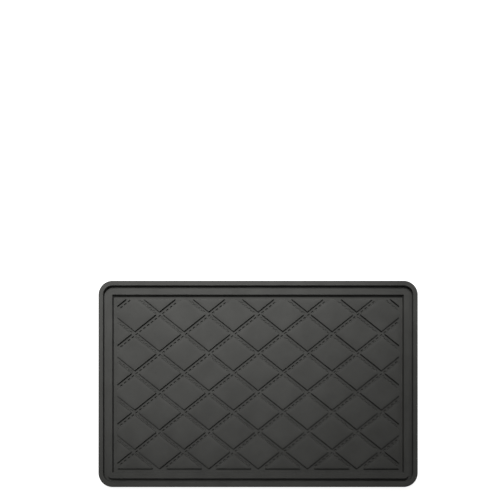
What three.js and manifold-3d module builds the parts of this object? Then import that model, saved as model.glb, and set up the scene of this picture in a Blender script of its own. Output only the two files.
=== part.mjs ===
// Anti-slip dashboard mat: one moulded rubber tray with a double rim and a quilted floor.
// Millimetres, +Z up. The mat lies flat with its underside on z = 0, its long side along X and
// its far side towards +Y. The origin is the middle of the underside.
import * as THREE from "three";
import { ConvexGeometry } from "three/addons/geometries/ConvexGeometry.js";
import { mergeVertices } from "three/addons/utils/BufferGeometryUtils.js";
import Module from "manifold-3d";

// Outline of the mat, seen from above.
const matLength = 280;
const matDepth = 181;
const cornerRadius = 12.5;
const trayCornerRadius = 0.6;

// Heights over the underside.
const rimHeight = 5.5;
const trayFloorHeight = 2.5;
const grooveDepth = 3;

// Widths from the outer edge inwards.
const rimWidth = 4.3;
const grooveWidth = 3.5;
const ledgeWidth = 4.6;
const floorStripWidth = 3;

// How far each moulded wall leans, so that the mat leaves its mould.
const grooveWallLean = 0.4;
const trayWallLean = 0.6;

// Rounded outer edge of the rim, and the small bevel round the underside.
const rimEdgeRadius = 1.2;
const undersideBevel = 0.4;

// Quilting: the distance from one seam crossing to the next, along X and along Y.
const diamondLength = 43.3;
const diamondDepth = 34.45;
const seamWidth = 3.7;

// Cushions between the seams: a short steep edge, then a low dome.
const cushionEdgeHeight = 1;
const cushionEdgeLean = 0.3;
const cushionDomeRise = 0.3;
const cushionDomeRun = 8;

// Stitch line, pressed into each seam a little to the near side of its middle.
const stitchOffset = 0.7;
const stitchWidth = 1.1;
const stitchDepth = 0.5;

// Fineness of the round forms, how deep a cushion is rooted in the mat, how far a cutter stands
// out of the floor, and how close two points count as one.
const cornerSteps = 8;
const edgeSteps = 4;
const domeSteps = 3;
const rootDepth = 0.5;
const cutterLift = 0.2;
const mergeTolerance = 1e-4;

// The quilted field, and the lattice of seams that is laid over it.
const fieldInset = rimWidth + grooveWidth + ledgeWidth + trayWallLean + floorStripWidth;
const fieldHalfLength = matLength / 2 - fieldInset;
const fieldHalfDepth = matDepth / 2 - fieldInset;
const halfCell = new THREE.Vector2(diamondLength / 2, diamondDepth / 2);
const seamNormal = new THREE.Vector2(halfCell.y, halfCell.x).normalize();
const quadrants = [[1, 1], [-1, 1], [-1, -1], [1, -1]];

// The points of the whole cushions just reach the near edge of the field, so the lowest row of
// crossings lies half a seam beyond it, measured along Y.
const firstCrossingRow = -fieldHalfDepth - seamWidth / 2 / seamNormal.y;

const wasm = await Module();
wasm.setup();

function solidOf(geometry) {
  const bare = geometry.clone();
  bare.deleteAttribute("normal");
  bare.deleteAttribute("uv");
  const merged = mergeVertices(bare, mergeTolerance);
  return new wasm.Manifold(
    new wasm.Mesh({
      numProp: 3,
      vertProperties: merged.attributes.position.array,
      triVerts: new Uint32Array(merged.index.array),
    }),
  );
}

function geometryOf(solid) {
  const { vertProperties, triVerts } = solid.getMesh();
  const geometry = new THREE.BufferGeometry();
  geometry.setAttribute("position", new THREE.BufferAttribute(vertProperties, 3));
  geometry.setIndex(new THREE.BufferAttribute(triVerts, 1));
  geometry.computeVertexNormals();
  return geometry;
}

// Counter-clockwise outline of the mat, moved inwards. Round corners stay concentric for as long
// as a radius is left, and are nearly square after that.
function outline(inset) {
  const radius = Math.max(cornerRadius - inset, trayCornerRadius);
  const centreX = matLength / 2 - inset - radius;
  const centreY = matDepth / 2 - inset - radius;
  const points = [];
  quadrants.forEach(([signX, signY], corner) => {
    for (let step = 0; step <= cornerSteps; step++) {
      const angle = ((corner + step / cornerSteps) * Math.PI) / 2;
      points.push([
        signX * centreX + radius * Math.cos(angle),
        signY * centreY + radius * Math.sin(angle),
      ]);
    }
  });
  return points;
}

// Section of the border as [inset, height] pairs, from the underside over the rim, the groove
// and the ledge down to the floor of the tray.
function borderSection() {
  const section = [
    [undersideBevel, 0],
    [0, undersideBevel],
  ];
  for (let step = 0; step <= edgeSteps; step++) {
    const angle = ((step / edgeSteps) * Math.PI) / 2;
    section.push([
      rimEdgeRadius * (1 - Math.cos(angle)),
      rimHeight - rimEdgeRadius * (1 - Math.sin(angle)),
    ]);
  }
  const grooveStart = rimWidth;
  const grooveEnd = grooveStart + grooveWidth;
  const ledgeEnd = grooveEnd + ledgeWidth;
  section.push(
    [grooveStart, rimHeight],
    [grooveStart + grooveWallLean, rimHeight - grooveDepth],
    [grooveEnd - grooveWallLean, rimHeight - grooveDepth],
    [grooveEnd, rimHeight],
    [ledgeEnd, rimHeight],
    [ledgeEnd + trayWallLean, trayFloorHeight],
  );
  return section;
}

// The section swept round the outline, closed by the underside and the floor of the tray.
function traySolid() {
  const rings = borderSection().map(([inset, height]) =>
    outline(inset).map(([x, y]) => [x, y, height]),
  );
  const count = rings[0].length;
  const index = [];
  for (let ring = 0; ring + 1 < rings.length; ring++) {
    for (let i = 0; i < count; i++) {
      const next = (i + 1) % count;
      const low = ring * count;
      const high = low + count;
      index.push(low + i, low + next, high + next, low + i, high + next, high + i);
    }
  }
  const last = (rings.length - 1) * count;
  for (let i = 1; i + 1 < count; i++) {
    index.push(0, i + 1, i);
    index.push(last, last + i, last + i + 1);
  }
  const geometry = new THREE.BufferGeometry();
  geometry.setAttribute("position", new THREE.Float32BufferAttribute(rings.flat(2), 3));
  geometry.setIndex(index);
  return solidOf(geometry);
}

// The part of a convex polygon where normal . point <= reach.
function clipped(polygon, normal, reach) {
  const kept = [];
  polygon.forEach((point, i) => {
    const next = polygon[(i + 1) % polygon.length];
    const here = normal.dot(point) - reach;
    const there = normal.dot(next) - reach;
    if (here <= 0) kept.push(point);
    if (here * there < 0) kept.push(point.clone().lerp(next, here / (here - there)));
  });
  return kept;
}

// The sides of one cushion: its four seams and the four edges of the field, each as an outward
// normal and its reach from the origin.
function cushionSides(centre) {
  const sides = [];
  const seamReach = halfCell.x * seamNormal.x - seamWidth / 2;
  for (const [signX, signY] of quadrants) {
    const normal = new THREE.Vector2(signX * seamNormal.x, signY * seamNormal.y);
    sides.push({ normal, reach: normal.dot(centre) + seamReach });
  }
  for (const sign of [1, -1]) {
    sides.push({ normal: new THREE.Vector2(sign, 0), reach: fieldHalfLength });
    sides.push({ normal: new THREE.Vector2(0, sign), reach: fieldHalfDepth });
  }
  return sides;
}

// The cushion's outline, moved inwards from all its sides.
function cushionOutline(centre, inset) {
  let polygon = quadrants.map(([signX, signY]) =>
    new THREE.Vector2(signX * halfCell.x, signY * halfCell.y).add(centre),
  );
  for (const { normal, reach } of cushionSides(centre)) {
    polygon = clipped(polygon, normal, reach - inset);
  }
  return polygon.length >= 3 ? polygon : [];
}

// Height of a cushion over the floor of the tray, at a distance from its nearest side.
function cushionHeight(distance) {
  const along = Math.min((distance - cushionEdgeLean) / cushionDomeRun, 1);
  return cushionEdgeHeight + cushionDomeRise * (1 - (1 - along) ** 2);
}

// A cushion is convex, so it is the hull of its outline at a few heights. Where a small cushion
// at the edge of the field has no room for a step, its dome ends lower.
function cushionSolid(centre) {
  const points = [];
  const addRing = (inset, height) => {
    for (const { x, y } of cushionOutline(centre, inset)) {
      points.push(new THREE.Vector3(x, y, trayFloorHeight + height));
    }
  };
  addRing(0, -rootDepth);
  addRing(0, 0);
  for (let step = 0; step <= domeSteps; step++) {
    const distance = cushionEdgeLean + (cushionDomeRun * step) / domeSteps;
    addRing(distance, cushionHeight(distance));
  }
  return solidOf(new ConvexGeometry(points));
}

// Room for the edges of a cushion, without which it would be a sliver and is left out.
function hasRoom(centre) {
  return cushionOutline(centre, 2 * cushionEdgeLean).length > 0;
}

// Centres of all cells of the lattice that reach into the field.
function cushionCentres() {
  const centres = [];
  const columns = Math.ceil(fieldHalfLength / halfCell.x) + 1;
  const rows = Math.ceil((fieldHalfDepth - firstCrossingRow) / halfCell.y) + 1;
  for (let row = 0; row <= rows; row++) {
    for (let column = -columns; column <= columns; column++) {
      const isCell = (row + column) % 2 !== 0;
      const centre = new THREE.Vector2(
        column * halfCell.x,
        firstCrossingRow + row * halfCell.y,
      );
      if (isCell && hasRoom(centre)) centres.push(centre);
    }
  }
  return centres;
}

// The stretch of a line inside the field, as its two ends. A stub in a corner that is shorter than
// the seam is wide has none.
function stretchInField(start, direction) {
  let from = -Infinity;
  let to = Infinity;
  for (const [axis, half] of [["x", fieldHalfLength], ["y", fieldHalfDepth]]) {
    const a = (-half - start[axis]) / direction[axis];
    const b = (half - start[axis]) / direction[axis];
    from = Math.max(from, Math.min(a, b));
    to = Math.min(to, Math.max(a, b));
  }
  if (to - from < seamWidth) return null;
  return [from, to].map((t) => start.clone().addScaledVector(direction, t));
}

// A V-shaped cutter along one stitch line.
function stitchCutter([start, end], across) {
  const spread = (stitchWidth / 2) * (1 + cutterLift / stitchDepth);
  const points = [];
  for (const point of [start, end]) {
    for (const side of [-1, 1]) {
      const edge = point.clone().addScaledVector(across, side * spread);
      points.push(new THREE.Vector3(edge.x, edge.y, trayFloorHeight + cutterLift));
    }
    points.push(new THREE.Vector3(point.x, point.y, trayFloorHeight - stitchDepth));
  }
  return solidOf(new ConvexGeometry(points));
}

// Cutters for the stitch lines of all seams, leaning to both sides.
function stitchCutters() {
  const cutters = [];
  const reach = Math.ceil(
    fieldHalfLength / halfCell.x + (fieldHalfDepth - firstCrossingRow) / halfCell.y,
  );
  for (const lean of [1, -1]) {
    const direction = new THREE.Vector2(halfCell.x, lean * halfCell.y).normalize();
    const across = new THREE.Vector2(-lean * direction.y, Math.abs(direction.x));
    for (let crossing = -reach; crossing <= reach; crossing++) {
      const start = new THREE.Vector2(crossing * diamondLength, firstCrossingRow);
      start.addScaledVector(across, -stitchOffset);
      const stretch = stretchInField(start, direction);
      if (stretch) cutters.push(stitchCutter(stretch, across));
    }
  }
  return cutters;
}

function dashboardMat() {
  let solid = traySolid();
  for (const centre of cushionCentres()) solid = solid.add(cushionSolid(centre));
  for (const cutter of stitchCutters()) solid = solid.subtract(cutter);
  const rubber = new THREE.MeshStandardMaterial({
    color: 0x444442,
    roughness: 0.72,
    metalness: 0,
  });
  const mesh = new THREE.Mesh(geometryOf(solid), rubber);
  mesh.name = "dashboard_mat";
  return mesh;
}

const model = new THREE.Group();
model.add(dashboardMat());

export default model;
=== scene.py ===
"""Anti-slip dashboard mat: one moulded rubber tray with a double rim, a quilted floor and pressed-in
stitches, lying on a pale floor under soft studio light. Metres, +Z up, +Y towards the far side."""

import math

import bmesh
import bpy
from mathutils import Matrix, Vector


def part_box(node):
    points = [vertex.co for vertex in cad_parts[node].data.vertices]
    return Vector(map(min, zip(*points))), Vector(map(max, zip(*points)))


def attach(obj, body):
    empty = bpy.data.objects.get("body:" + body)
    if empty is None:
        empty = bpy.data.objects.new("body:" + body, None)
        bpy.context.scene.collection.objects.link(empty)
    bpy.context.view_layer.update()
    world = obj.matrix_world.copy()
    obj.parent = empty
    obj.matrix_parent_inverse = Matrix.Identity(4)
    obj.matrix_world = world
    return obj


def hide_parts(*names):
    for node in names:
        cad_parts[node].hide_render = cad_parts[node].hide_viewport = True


MM = 0.001
NODE = "dashboard_mat"

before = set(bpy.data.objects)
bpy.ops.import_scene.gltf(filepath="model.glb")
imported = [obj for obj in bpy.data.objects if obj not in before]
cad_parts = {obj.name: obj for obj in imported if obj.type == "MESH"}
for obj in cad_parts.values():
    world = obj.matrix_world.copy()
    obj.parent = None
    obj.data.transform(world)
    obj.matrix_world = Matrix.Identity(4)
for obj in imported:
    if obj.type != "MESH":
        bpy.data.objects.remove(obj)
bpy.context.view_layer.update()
mat_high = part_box(NODE)[1]

# The mat's outline and heights.
HALF_LENGTH = mat_high.x
HALF_DEPTH = mat_high.y
CORNER_RADIUS = 12.5 * MM
TRAY_CORNER_RADIUS = 0.6 * MM
RIM_HEIGHT = mat_high.z
FLOOR_HEIGHT = 2.5 * MM
GROOVE_DEPTH = 3 * MM
GROOVE_HEIGHT = RIM_HEIGHT - GROOVE_DEPTH

# Widths from the outer edge inwards, and how far the walls lean.
RIM_WIDTH = 4.3 * MM
GROOVE_WIDTH = 3.5 * MM
LEDGE_WIDTH = 4.6 * MM
FLOOR_STRIP_WIDTH = 3.1 * MM
GROOVE_WALL_LEAN = 0.3 * MM
TRAY_WALL_LEAN = 0.5 * MM

# The part of the floor strip that is swept round with the border, as a share of its width.
SWEPT_STRIP_SHARE = 0.25

# Roundings along the moulded edges, and how finely they are divided.
UNDERSIDE_BEVEL = 0.4 * MM
BEVEL_EDGE_RADIUS = 0.1 * MM
RIM_EDGE_RADIUS = 1.2 * MM
LIP_RADIUS = 0.15 * MM
FOOT_RADIUS = 0.2 * MM
CORNER_STEPS = 14
FILLET_STEPS = 4

# Quilting: distances between seam crossings along X and Y, the seams, and the cushions between
# them, which rise steeply at their edges and then run out into a low dome.
DIAMOND_LENGTH = 43.3 * MM
DIAMOND_DEPTH = 34.45 * MM
SEAM_WIDTH = 3.7 * MM
EDGE_HEIGHT = 1.6 * MM
EDGE_RUN = 0.3 * MM
EDGE_POWER = 4
DOME_RISE = 0.3 * MM
DOME_RUN = 3.5 * MM
DOME_POWER = 2

# Distances from a cushion's edge at which its mesh has a line of points.
CUSHION_LINES = [d * MM for d in (0, 0.06, 0.13, 0.22, 0.34, 0.5, 0.9, 1.4, 2, 2.7, 3.5)]

# Points of the field's mesh closer than this to a cutting line are taken to lie on it.
CUT_TOLERANCE = 1e-7

# Stitches: their form, how far each row lies off its seam's middle line towards the near side,
# and how the rows in the falling seams differ. A stitch is a ball that is stretched along its
# row to a half length of STITCH_STRETCH stitch lengths, and then cut flat at both ends.
STITCH_PITCH = 4.3 * MM
STITCH_LENGTH = 2.6 * MM
STITCH_WIDTH = 1.1 * MM
STITCH_DEPTH = 1.2 * MM
STITCH_STRETCH = 0.7
STITCH_SEGMENTS = 12
STITCH_RINGS = 6
RISING_STITCH_OFFSET = 0.7 * MM
FALLING_STITCH_OFFSET = 0.5 * MM
SECOND_STITCH_OFFSET = 1.3 * MM
SECOND_ROW_STAGGER = 0.5
FALLING_DEPTH_SHARE = 0.4
CROSSING_CLEARANCE = 2.9 * MM

# Rubber: colour and roughness between which it is mottled, and its fine grain.
DARK_RUBBER = (0.047, 0.047, 0.0445, 1)
PALE_RUBBER = (0.057, 0.057, 0.054, 1)
SMOOTH_RUBBER = 0.56
ROUGH_RUBBER = 0.68
RUBBER_IOR = 1.5
RUBBER_SPECULAR = 0.05
MOTTLING_SCALE = 60
MOTTLING_DETAIL = 4
MOTTLING_START = 0.3
MOTTLING_END = 0.7
GRAIN_SCALE = 1600
GRAIN_DETAIL = 2
GRAIN_STRENGTH = 0.35
GRAIN_HEIGHT = 0.05 * MM

# Edges that turn by more than this many degrees are shaded as sharp.
SHARP_ANGLE = 40

# Camera: it stands straight over the middle of the mat, and its picture is shifted so that the
# mat lies in the lower part. Places in the image are in pixels.
IMAGE_SIZE = 500
MAT_WIDTH_IN_IMAGE = 317.75
MAT_CENTRE_IN_IMAGE = Vector((258.1, 383.9))
CAMERA_HEIGHT = 0.4
SENSOR_WIDTH = 36
VIEW_REACH = 20

# Light and floor. Each lamp has a name, a place, the point of the floor that it is turned to,
# a cone in degrees and a power in watts.
LAMPS = (
    ("far_lamp", (-0.149, 0.785, 1.400), (-0.102, 0.250, 0), 27.2, 120.3),
    ("near_lamp", (-0.055, 0.960, 1.079), (0.036, -0.078, 0), 32.0, 52.2),
)
LAMP_RADIUS = 0.04
AMBIENT = 0.12
WHITE = (1, 1, 1, 1)
FLOOR_HALF = 6.0
FLOOR_GREY = (0.5, 0.5, 0.5, 1)
FLOOR_ROUGHNESS = 0.9
FLOOR_GLOW = 0.93

FIELD_INSET = RIM_WIDTH + GROOVE_WIDTH + LEDGE_WIDTH + TRAY_WALL_LEAN + FLOOR_STRIP_WIDTH
FIELD_HALF = Vector((HALF_LENGTH - FIELD_INSET, HALF_DEPTH - FIELD_INSET))
HALF_CELL = Vector((DIAMOND_LENGTH / 2, DIAMOND_DEPTH / 2))

# Unit normals of the two families of seams, both leaning to the far side, and the distance
# between two parallel seams.
SEAM_NORMALS = [
    Vector((side * HALF_CELL.y, HALF_CELL.x)).normalized() for side in (1, -1)
]
SEAM_SPACING = 2 * HALF_CELL.x * HALF_CELL.y / HALF_CELL.length
FIRST_CROSSING = Vector((0, -FIELD_HALF.y - SEAM_WIDTH / 2 / SEAM_NORMALS[0].y))


def filleted(corners, steps):
    """A polyline's points, each corner (x, y, radius) replaced by an arc of that radius."""
    points = [Vector(corners[0][:2])]
    for before, corner, after in zip(corners, corners[1:], corners[2:]):
        at, radius = Vector(corner[:2]), corner[2]
        back = (Vector(before[:2]) - at).normalized()
        ahead = (Vector(after[:2]) - at).normalized()
        half = back.angle(ahead) / 2
        setback = radius / math.tan(half)
        centre = at + (back + ahead).normalized() * radius / math.sin(half)
        start = (at + back * setback - centre).normalized()
        end = (at + ahead * setback - centre).normalized()
        points += [centre + radius * start.slerp(end, step / steps) for step in range(steps + 1)]
    return points + [Vector(corners[-1][:2])]


def border_section():
    """Points (inset, height) from the underside over rim, groove and ledge to the tray floor."""
    groove_start = RIM_WIDTH
    groove_end = groove_start + GROOVE_WIDTH
    ledge_end = groove_end + LEDGE_WIDTH
    wall_foot = ledge_end + TRAY_WALL_LEAN
    return filleted(
        [
            (UNDERSIDE_BEVEL, 0, 0),
            (0, UNDERSIDE_BEVEL, BEVEL_EDGE_RADIUS),
            (0, RIM_HEIGHT, RIM_EDGE_RADIUS),
            (groove_start, RIM_HEIGHT, LIP_RADIUS),
            (groove_start + GROOVE_WALL_LEAN, GROOVE_HEIGHT, FOOT_RADIUS),
            (groove_end - GROOVE_WALL_LEAN, GROOVE_HEIGHT, FOOT_RADIUS),
            (groove_end, RIM_HEIGHT, LIP_RADIUS),
            (ledge_end, RIM_HEIGHT, LIP_RADIUS),
            (wall_foot, FLOOR_HEIGHT, FOOT_RADIUS),
            (wall_foot + FLOOR_STRIP_WIDTH * SWEPT_STRIP_SHARE, FLOOR_HEIGHT, 0),
        ],
        FILLET_STEPS,
    )


def outline(inset):
    """The mat's outline seen from above, counter-clockwise, moved inwards."""
    radius = max(CORNER_RADIUS - inset, TRAY_CORNER_RADIUS)
    centre_x, centre_y = HALF_LENGTH - inset - radius, HALF_DEPTH - inset - radius
    points = []
    for corner, (side_x, side_y) in enumerate([(1, 1), (-1, 1), (-1, -1), (1, -1)]):
        for step in range(CORNER_STEPS + 1):
            angle = (corner + step / CORNER_STEPS) * math.pi / 2
            points.append(
                (
                    side_x * centre_x + radius * math.cos(angle),
                    side_y * centre_y + radius * math.sin(angle),
                )
            )
    return points


def add_border(bm):
    """The border swept round the outline, with the underside. Returns its open inner edge."""
    rings = []
    for inset, height in border_section():
        rings.append([bm.verts.new((x, y, height)) for x, y in outline(inset)])
    for low, high in zip(rings, rings[1:]):
        for i in range(len(low)):
            j = (i + 1) % len(low)
            bm.faces.new((low[i], low[j], high[j], high[i]))
    bm.faces.new(reversed(rings[0]))
    last = rings[-1]
    return [bm.edges.get((last[i - 1], last[i])) for i in range(len(last))]


def lattice_point(u, v):
    """The point at distances u and v from the two seams that meet in the first crossing."""
    along_u = Vector((HALF_CELL.x, HALF_CELL.y)) * (u / SEAM_SPACING)
    along_v = Vector((-HALF_CELL.x, HALF_CELL.y)) * (v / SEAM_SPACING)
    return FIRST_CROSSING + along_u + along_v


def line_distances(normal):
    """Where the mesh has lines parallel to one family of seams, over the whole field."""
    corners = [Vector((x * FIELD_HALF.x, y * FIELD_HALF.y)) for x in (-1, 1) for y in (-1, 1)]
    reaches = [normal.dot(corner - FIRST_CROSSING) for corner in corners]
    first = math.floor(min(reaches) / SEAM_SPACING)
    last = math.ceil(max(reaches) / SEAM_SPACING)
    in_cell = [SEAM_WIDTH / 2 + d for d in CUSHION_LINES]
    in_cell += [SEAM_SPACING - d for d in in_cell]
    in_cell = sorted(in_cell + [SEAM_SPACING / 2])
    return [cell * SEAM_SPACING + d for cell in range(first, last) for d in in_cell]


def edge_share(distance):
    """Share of a cushion's edge height that is reached at a distance from its edge."""
    along = min(max(distance / EDGE_RUN, 0), 1)
    return 1 - (1 - along) ** EDGE_POWER


def dome_share(distance):
    """Share of a cushion's dome that is reached at a distance from its edge."""
    along = min(max(distance / DOME_RUN, 0), 1)
    return 1 - (1 - along) ** DOME_POWER


def cushion_height(point):
    """Height over the tray floor. In the seams and outside the field it is nothing."""
    distances = [FIELD_HALF.x - abs(point.x), FIELD_HALF.y - abs(point.y)]
    for normal in SEAM_NORMALS:
        across = normal.dot(point - FIRST_CROSSING) % SEAM_SPACING
        distances.append(min(across, SEAM_SPACING - across) - SEAM_WIDTH / 2)
    edge = math.prod(edge_share(d) for d in distances)
    dome = math.prod(dome_share(d) for d in distances)
    return EDGE_HEIGHT * edge + DOME_RISE * dome


def add_field(bm):
    """The quilted field, as a net of lines along the seams that is cut off at the field's edges.
    Returns its open outer edge."""
    rows, columns = (line_distances(normal) for normal in SEAM_NORMALS)
    net = [[lattice_point(u, v) for v in columns] for u in rows]
    margin = SEAM_SPACING / 2
    verts = {}

    def vert(i, j):
        if (i, j) not in verts:
            point = net[i][j]
            verts[i, j] = bm.verts.new((point.x, point.y, FLOOR_HEIGHT))
        return verts[i, j]

    for i in range(len(rows) - 1):
        for j in range(len(columns) - 1):
            point = net[i][j]
            inside_x = abs(point.x) < FIELD_HALF.x + margin
            inside_y = abs(point.y) < FIELD_HALF.y + margin
            if inside_x and inside_y:
                bm.faces.new((vert(i, j), vert(i + 1, j), vert(i + 1, j + 1), vert(i, j + 1)))
    for axis, half in enumerate(FIELD_HALF):
        for side in (1, -1):
            normal = Vector((0, 0, 0))
            normal[axis] = side
            for distance in CUSHION_LINES:
                bmesh.ops.bisect_plane(
                    bm,
                    geom=[*bm.verts, *bm.edges, *bm.faces],
                    plane_co=normal * (half - distance),
                    plane_no=normal,
                    clear_outer=distance == 0,
                    dist=CUT_TOLERANCE,
                )
    for point in bm.verts:
        point.co.z = FLOOR_HEIGHT + cushion_height(point.co.xy)
    return [edge for edge in bm.edges if edge.is_boundary]


def mat_body():
    """The mat without its stitches, as one closed mesh."""
    bm = bmesh.new()
    field_edge = add_field(bm)
    border_edge = add_border(bm)
    bmesh.ops.triangle_fill(
        bm, edges=field_edge + border_edge, use_dissolve=False, normal=(0, 0, 1)
    )
    bmesh.ops.recalc_face_normals(bm, faces=bm.faces)
    mesh = bpy.data.meshes.new("mat_body")
    bm.to_mesh(mesh)
    bm.free()
    return mesh


class Tree:
    """A Geometry Nodes tree with named inputs and one geometry output."""

    def __init__(self, name, **sizes):
        self.group = bpy.data.node_groups.new(name, "GeometryNodeTree")
        self.sockets = {}
        face = self.group.interface
        face.new_socket("Geometry", in_out="INPUT", socket_type="NodeSocketGeometry")
        for label, kind in sizes.items():
            made = face.new_socket(label, in_out="INPUT", socket_type="NodeSocket" + kind)
            self.sockets[label] = made.identifier
        face.new_socket("Geometry", in_out="OUTPUT", socket_type="NodeSocketGeometry")
        self.size = self.group.nodes.new("NodeGroupInput").outputs
        self.result = self.group.nodes.new("NodeGroupOutput").inputs[0]

    def node(self, kind, settings=None, **inputs):
        """A new node. Inputs are links or values, by socket name with _ for a blank."""
        made = self.group.nodes.new(kind)
        for key, value in (settings or {}).items():
            setattr(made, key, value)
        for label, value in inputs.items():
            self.feed(made.inputs[label.replace("_", " ")], value)
        return made

    def feed(self, socket, value):
        """Links an output to the socket, or sets the socket's value."""
        if isinstance(value, bpy.types.NodeSocket):
            self.group.links.new(value, socket)
        else:
            socket.default_value = value

    def math(self, operation, a, b=0.0):
        """The result of a Math node."""
        made = self.node("ShaderNodeMath", {"operation": operation})
        self.feed(made.inputs[0], a)
        self.feed(made.inputs[1], b)
        return made.outputs[0]

    def vector_math(self, operation, a, b):
        """A Vector Math node with two inputs."""
        made = self.node("ShaderNodeVectorMath", {"operation": operation})
        self.feed(made.inputs[0], a)
        self.feed(made.inputs[1], b)
        return made


def stitch_form(tree):
    """One stitch along X: a stretched ball whose ends are cut flat at the stitch's length."""
    ball = tree.node(
        "GeometryNodeMeshUVSphere", Segments=STITCH_SEGMENTS, Rings=STITCH_RINGS, Radius=1.0
    )
    place = tree.node("GeometryNodeInputPosition")
    split = tree.node("ShaderNodeSeparateXYZ", Vector=place.outputs[0])
    half_length = tree.math("MULTIPLY", tree.size["Length"], 0.5)
    stretch = tree.math("MULTIPLY", tree.size["Length"], STITCH_STRETCH)
    stretched = tree.math("MULTIPLY", split.outputs[0], stretch)
    flat_end = tree.math("MINIMUM", stretched, half_length)
    flat_ends = tree.math("MAXIMUM", flat_end, tree.math("MULTIPLY", half_length, -1.0))
    half_width = tree.math("MULTIPLY", tree.size["Width"], 0.5)
    form = tree.node(
        "ShaderNodeCombineXYZ",
        X=flat_ends,
        Y=tree.math("MULTIPLY", split.outputs[1], half_width),
        Z=tree.math("MULTIPLY", split.outputs[2], tree.size["Depth"]),
    )
    stitch = tree.node(
        "GeometryNodeSetPosition", Geometry=ball.outputs["Mesh"], Position=form.outputs[0]
    )
    return stitch.outputs[0]


def row_points(tree, turn, offset, stagger):
    """A net of points over the field, one row of them to each seam of one direction."""
    reach = 2 * (FIELD_HALF.x + FIELD_HALF.y)
    count = 2 * math.ceil(reach / STITCH_PITCH) + 1
    rows = 2 * math.ceil(reach / SEAM_SPACING) + 1
    net = tree.node(
        "GeometryNodeMeshGrid",
        Size_X=tree.math("MULTIPLY", tree.size["Pitch"], float(count - 1)),
        Size_Y=tree.math("MULTIPLY", tree.size["Seam_Spacing"], float(rows - 1)),
        Vertices_X=count,
        Vertices_Y=rows,
    )
    shift = tree.node(
        "ShaderNodeCombineXYZ",
        X=tree.math("MULTIPLY", tree.size["Pitch"], stagger),
        Y=tree.math("MULTIPLY", offset, -1.0),
        Z=FLOOR_HEIGHT,
    )
    points = net.outputs["Mesh"]
    for move in (
        {"Translation": shift.outputs[0]},
        {"Rotation": turn},
        {"Translation": tree.size["Crossing"]},
    ):
        points = tree.node("GeometryNodeTransform", Geometry=points, **move).outputs[0]
    return points


def outside_field(tree, spot):
    """Is the spot so near the field's edge that a stitch there would reach over it?"""
    where = tree.node("ShaderNodeSeparateXYZ", Vector=spot)
    half_length = tree.math("MULTIPLY", tree.size["Length"], 0.5)
    beyond = []
    for coordinate, limit in zip(where.outputs[:2], (tree.size["Field_X"], tree.size["Field_Y"])):
        inner = tree.math("SUBTRACT", limit, half_length)
        beyond.append(tree.math("GREATER_THAN", tree.math("ABSOLUTE", coordinate), inner))
    return tree.math("MAXIMUM", *beyond)


def at_crossing(tree, spot):
    """Is the spot in a place where a rising seam crosses?"""
    from_crossing = tree.vector_math("SUBTRACT", spot, tree.size["Crossing"])
    across = tree.vector_math(
        "DOT_PRODUCT", from_crossing.outputs["Vector"], tree.size["Rising_Normal"]
    )
    half_spacing = tree.math("MULTIPLY", tree.size["Seam_Spacing"], 0.5)
    from_rising = tree.math("PINGPONG", across.outputs["Value"], half_spacing)
    return tree.math("LESS_THAN", from_rising, tree.size["Crossing_Clearance"])


def stitch_tree():
    """Presses rows of stitches into the seams of the mat: one row into each seam that rises to
    the right, and two shallower, staggered rows into each that falls, which stop at the
    crossings. A net of points is laid over the seams for each kind of row, and a stitch is cut
    out at each point that is kept."""
    tree = Tree(
        "PressedStitches",
        Pitch="Float",
        Length="Float",
        Width="Float",
        Depth="Float",
        Rising_Offset="Float",
        Falling_Offset="Float",
        Second_Offset="Float",
        Falling_Depth_Share="Float",
        Rising_Normal="Vector",
        Crossing_Clearance="Float",
        Seam_Spacing="Float",
        Seam_Angle="Float",
        Crossing="Vector",
        Field_X="Float",
        Field_Y="Float",
        Rubber="Material",
    )
    stitch = stitch_form(tree)
    mat = tree.size["Geometry"]

    # Lean of the seams, the row's distance from their middle line, and its shift in pitches.
    row_kinds = (
        (1.0, tree.size["Rising_Offset"], 0.0),
        (-1.0, tree.size["Falling_Offset"], 0.0),
        (-1.0, tree.size["Second_Offset"], SECOND_ROW_STAGGER),
    )
    for lean, offset, stagger in row_kinds:
        angle = tree.math("MULTIPLY", tree.size["Seam_Angle"], lean)
        turn = tree.node("ShaderNodeCombineXYZ", Z=angle).outputs[0]
        points = row_points(tree, turn, offset, stagger)
        spot = tree.node("GeometryNodeInputPosition").outputs[0]
        left_out = outside_field(tree, spot)
        depth_share = 1.0
        if lean < 0:
            left_out = tree.math("MAXIMUM", left_out, at_crossing(tree, spot))
            depth_share = tree.size["Falling_Depth_Share"]
        scale = tree.node("ShaderNodeCombineXYZ", X=1.0, Y=1.0, Z=depth_share)
        kept = tree.node("GeometryNodeDeleteGeometry", Geometry=points, Selection=left_out)
        copies = tree.node(
            "GeometryNodeInstanceOnPoints",
            Points=kept.outputs[0],
            Instance=stitch,
            Rotation=turn,
            Scale=scale.outputs[0],
        )
        solid = tree.node("GeometryNodeRealizeInstances", Geometry=copies.outputs[0])
        cut = tree.node(
            "GeometryNodeMeshBoolean",
            {"operation": "DIFFERENCE", "solver": "MANIFOLD"},
            Mesh_1=mat,
            Mesh_2=solid.outputs[0],
        )
        mat = cut.outputs["Mesh"]
    real = tree.node("GeometryNodeRealizeInstances", Geometry=mat)
    painted = tree.node(
        "GeometryNodeSetMaterial", Geometry=real.outputs[0], Material=tree.size["Rubber"]
    )
    tree.feed(tree.result, painted.outputs[0])
    return tree


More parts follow.
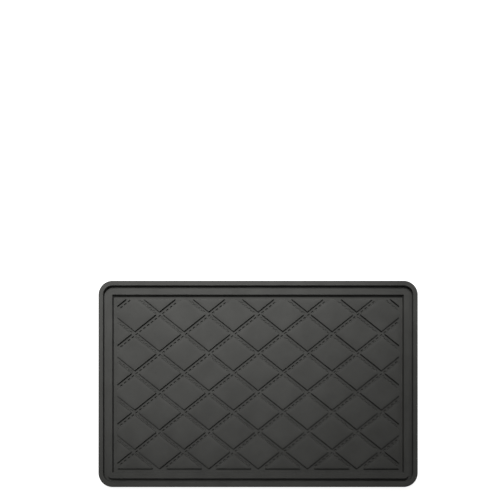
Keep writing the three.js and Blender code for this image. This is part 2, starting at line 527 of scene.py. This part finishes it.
def with_stitches(piece, rubber):
    """Runs the stitch tree on the piece, and keeps the result as the piece's plain mesh."""
    tree = stitch_tree()
    modifier = piece.modifiers.new("stitches", "NODES")
    modifier.node_group = tree.group
    values = {
        "Pitch": STITCH_PITCH,
        "Length": STITCH_LENGTH,
        "Width": STITCH_WIDTH,
        "Depth": STITCH_DEPTH,
        "Rising_Offset": RISING_STITCH_OFFSET,
        "Falling_Offset": FALLING_STITCH_OFFSET,
        "Second_Offset": SECOND_STITCH_OFFSET,
        "Falling_Depth_Share": FALLING_DEPTH_SHARE,
        "Rising_Normal": (*SEAM_NORMALS[1], 0.0),
        "Crossing_Clearance": CROSSING_CLEARANCE,
        "Seam_Spacing": SEAM_SPACING,
        "Seam_Angle": math.atan2(HALF_CELL.y, HALF_CELL.x),
        "Crossing": (FIRST_CROSSING.x, FIRST_CROSSING.y, 0.0),
        "Field_X": FIELD_HALF.x,
        "Field_Y": FIELD_HALF.y,
        "Rubber": rubber,
    }
    for label, value in values.items():
        modifier[tree.sockets[label]] = value
    graph = bpy.context.evaluated_depsgraph_get()
    piece.update_tag()
    graph.update()
    mesh = bpy.data.meshes.new_from_object(piece.evaluated_get(graph), depsgraph=graph)
    piece.modifiers.remove(modifier)
    piece.data = mesh


def noise(nodes, links, where, scale, detail):
    """The value of a Noise Texture that is fixed to the object."""
    made = nodes.new("ShaderNodeTexNoise")
    made.inputs["Scale"].default_value = scale
    made.inputs["Detail"].default_value = detail
    links.new(where.outputs["Object"], made.inputs["Vector"])
    return made.outputs["Fac"]


def rubber_material():
    """Charcoal moulded rubber: a fine even grain, faint mottling, satin to matte."""
    material = bpy.data.materials.new("moulded_rubber")
    material.use_nodes = True
    nodes, links = material.node_tree.nodes, material.node_tree.links
    shader = nodes["Principled BSDF"]
    shader.inputs["IOR"].default_value = RUBBER_IOR
    shader.inputs["Specular IOR Level"].default_value = RUBBER_SPECULAR

    where = nodes.new("ShaderNodeTexCoord")
    mottling = noise(nodes, links, where, MOTTLING_SCALE, MOTTLING_DETAIL)
    colour = nodes.new("ShaderNodeValToRGB")
    dark_end, pale_end = colour.color_ramp.elements
    dark_end.position = MOTTLING_START
    dark_end.color = DARK_RUBBER
    pale_end.position = MOTTLING_END
    pale_end.color = PALE_RUBBER
    links.new(mottling, colour.inputs["Fac"])
    links.new(colour.outputs["Color"], shader.inputs["Base Color"])

    roughness = nodes.new("ShaderNodeMapRange")
    roughness.inputs["To Min"].default_value = SMOOTH_RUBBER
    roughness.inputs["To Max"].default_value = ROUGH_RUBBER
    links.new(mottling, roughness.inputs["Value"])
    links.new(roughness.outputs["Result"], shader.inputs["Roughness"])

    grain = noise(nodes, links, where, GRAIN_SCALE, GRAIN_DETAIL)
    bump = nodes.new("ShaderNodeBump")
    bump.inputs["Strength"].default_value = GRAIN_STRENGTH
    bump.inputs["Distance"].default_value = GRAIN_HEIGHT
    links.new(grain, bump.inputs["Height"])
    links.new(bump.outputs["Normal"], shader.inputs["Normal"])
    return material


def moulded_mat():
    """The whole mat with its stitches, in place of the solid one."""
    piece = bpy.data.objects.new("moulded_mat", mat_body())
    bpy.context.scene.collection.objects.link(piece)
    with_stitches(piece, rubber_material())
    for face in piece.data.polygons:
        face.use_smooth = True
    piece.data.set_sharp_from_angle(angle=math.radians(SHARP_ANGLE))
    weighted = piece.modifiers.new("even_shading", "WEIGHTED_NORMAL")
    weighted.keep_sharp = True
    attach(piece, "root")
    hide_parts(NODE)


def add_camera():
    """The camera, with a lens that gives the mat its width in the image, taken at the height of
    the tray floor."""
    data = bpy.data.cameras.new("camera")
    data.sensor_width = SENSOR_WIDTH
    distance = CAMERA_HEIGHT - FLOOR_HEIGHT
    data.lens = SENSOR_WIDTH * distance * MAT_WIDTH_IN_IMAGE / IMAGE_SIZE / (2 * HALF_LENGTH)
    data.shift_x = 0.5 - MAT_CENTRE_IN_IMAGE.x / IMAGE_SIZE
    data.shift_y = MAT_CENTRE_IN_IMAGE.y / IMAGE_SIZE - 0.5
    data.clip_end = VIEW_REACH
    camera = bpy.data.objects.new("camera", data)
    camera.location = (0, 0, CAMERA_HEIGHT)
    bpy.context.scene.collection.objects.link(camera)
    bpy.context.scene.camera = camera


def add_lamp(name, place, aim, cone, power):
    """A small spot lamp beyond the mat's far side, turned to a point of the floor."""
    data = bpy.data.lights.new(name, "SPOT")
    data.energy = power
    data.spot_size = math.radians(cone)
    data.spot_blend = 1
    data.shadow_soft_size = LAMP_RADIUS
    lamp = bpy.data.objects.new(name, data)
    lamp.location = place
    lamp.rotation_mode = "QUATERNION"
    lamp.rotation_quaternion = (Vector(place) - Vector(aim)).to_track_quat("Z", "Y")
    lamp.visible_camera = False
    bpy.context.scene.collection.objects.link(lamp)


def seen_directly(nodes, links):
    """Is the ray one that shows the background: from the camera, or through gloss or glass?"""
    path = nodes.new("ShaderNodeLightPath")
    seen = path.outputs["Is Camera Ray"]
    for ray in ("Is Glossy Ray", "Is Transmission Ray"):
        either = nodes.new("ShaderNodeMath")
        either.operation = "MAXIMUM"
        links.new(seen, either.inputs[0])
        links.new(path.outputs[ray], either.inputs[1])
        seen = either.outputs[0]
    return seen


def add_world():
    """A white surround that gives the mat only a little light."""
    world = bpy.data.worlds.new("studio")
    world.use_nodes = True
    nodes, links = world.node_tree.nodes, world.node_tree.links
    background = nodes["Background"]
    background.inputs["Color"].default_value = WHITE
    strength = nodes.new("ShaderNodeMapRange")
    strength.inputs["To Min"].default_value = AMBIENT
    strength.inputs["To Max"].default_value = 1.0
    links.new(seen_directly(nodes, links), strength.inputs["Value"])
    links.new(strength.outputs["Result"], background.inputs["Strength"])
    bpy.context.scene.world = world


def add_floor():
    """A wide grey floor that looks white to the camera and keeps the mat's shadow."""
    mesh = bpy.data.meshes.new("floor")
    corners = [
        (x * FLOOR_HALF, y * FLOOR_HALF, 0) for x, y in ((-1, -1), (1, -1), (1, 1), (-1, 1))
    ]
    mesh.from_pydata(corners, [], [(0, 1, 2, 3)])
    floor = bpy.data.objects.new("floor", mesh)
    bpy.context.scene.collection.objects.link(floor)
    material = bpy.data.materials.new("white_floor")
    material.use_nodes = True
    nodes, links = material.node_tree.nodes, material.node_tree.links
    shader = nodes["Principled BSDF"]
    shader.inputs["Base Color"].default_value = FLOOR_GREY
    shader.inputs["Roughness"].default_value = FLOOR_ROUGHNESS
    shader.inputs["Specular IOR Level"].default_value = 0.0
    shader.inputs["Emission Color"].default_value = WHITE
    glow = nodes.new("ShaderNodeMath")
    glow.operation = "MULTIPLY"
    glow.inputs[1].default_value = FLOOR_GLOW
    links.new(seen_directly(nodes, links), glow.inputs[0])
    links.new(glow.outputs[0], shader.inputs["Emission Strength"])
    mesh.materials.append(material)


bpy.context.scene.view_settings.view_transform = "Standard"
add_camera()
add_floor()
add_world()
for lamp in LAMPS:
    add_lamp(*lamp)
moulded_mat()
